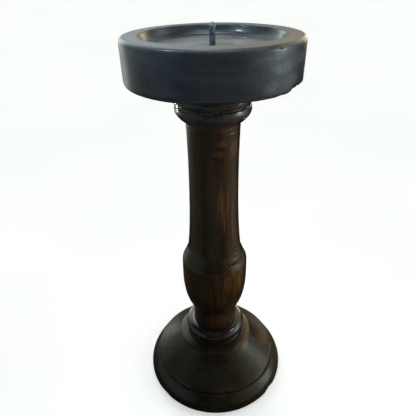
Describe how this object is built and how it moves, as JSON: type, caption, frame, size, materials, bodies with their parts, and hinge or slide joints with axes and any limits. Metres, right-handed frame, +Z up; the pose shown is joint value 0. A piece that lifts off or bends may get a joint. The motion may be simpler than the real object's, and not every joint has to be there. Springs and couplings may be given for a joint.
{
  "type": "pillar candle holder",
  "caption": "Turned dark-stained wooden pillar candle holder: shallow dish with a steel spike, ringed pillar with an acorn bulb, and a round conical base on felt.",
  "frame": {"origin": "centre of the felt pad's underside, on the surface that the holder stands on", "axes": "+Z up, along the turning axis from the base to the spike; the shape is round, so +X and +Y are free"},
  "size_m": [0.107, 0.107, 0.2644],
  "materials": {
    "dish_wood": "near-black stain under satin lacquer, cool grey sheen, tan where the outer edge is worn",
    "column_wood": "dark walnut stain with red-brown streaks along the grain, satin to gloss lacquer",
    "ring_wood": "dark red-brown stain, glossy where lacquer has pooled",
    "base_wood": "dark walnut stain under satin lacquer, fine scratches and a worn reddish patch",
    "spike_steel": "steel darkened by the same stain and old wax",
    "zinc_steel": "bright zinc-plated steel",
    "felt": "dark green pressed felt"
  },
  "bodies": {
    "root": {"candle_spike": "spike_steel", "candle_dish": "dish_wood", "capital_ring": "ring_wood", "column": "column_wood", "foot_ring": "ring_wood", "base": "base_wood", "column_screw": "zinc_steel", "screw_washer": "zinc_steel", "felt_pad": "felt"}
  },
  "joints": []
}
